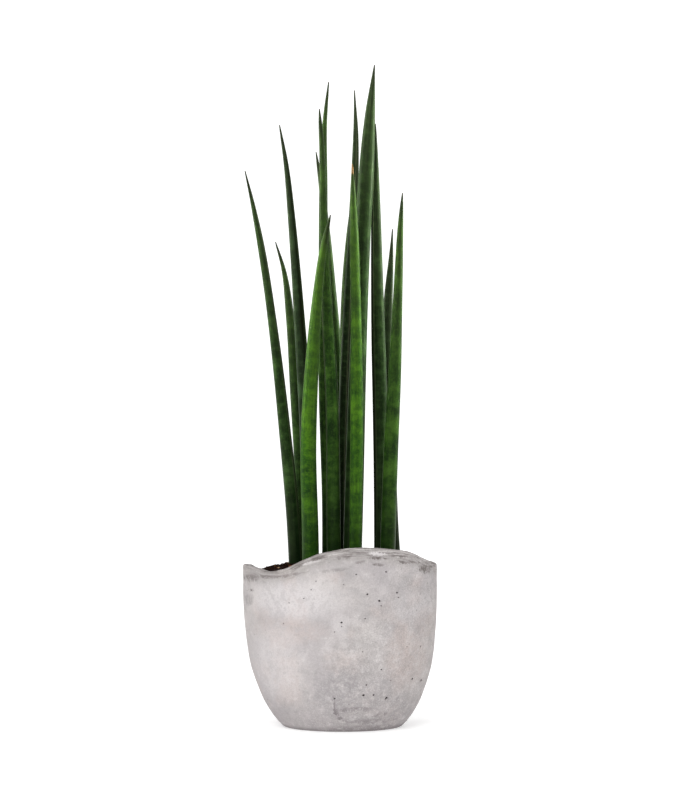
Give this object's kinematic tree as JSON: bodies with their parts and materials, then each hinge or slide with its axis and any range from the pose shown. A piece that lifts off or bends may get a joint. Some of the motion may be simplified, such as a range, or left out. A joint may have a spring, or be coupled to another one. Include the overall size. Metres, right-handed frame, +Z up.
{
  "type": "potted snake plant",
  "caption": "Upright cylindrical snake plant: slender round leaves tapering to spine tips, standing in dark soil in a small-footed concrete pot with a wavy rim.",
  "frame": {"origin": "centre of the pot's flat base, on the table", "axes": "+Z up along the leaves; the front of the pot, where the rim is highest, looks along -Y; +X to the viewer's right"},
  "size_m": [0.16, 0.16, 0.5436],
  "materials": {
    "concrete": "matte",
    "potting_soil": "rough",
    "leaf_bright": "satin",
    "leaf_mid": "satin",
    "leaf_dark": "satin"
  },
  "bodies": {
    "root": {"pot": "concrete", "soil": "potting_soil", "leaf_01": "leaf_mid", "leaf_02": "leaf_mid", "leaf_03": "leaf_dark", "leaf_04": "leaf_bright", "leaf_05": "leaf_mid", "leaf_06": "leaf_mid", "leaf_07": "leaf_mid", "leaf_08": "leaf_dark", "leaf_09": "leaf_mid", "leaf_10": "leaf_bright", "leaf_11": "leaf_mid", "leaf_12": "leaf_dark", "leaf_13": "leaf_mid", "leaf_14": "leaf_dark"}
  },
  "joints": []
}
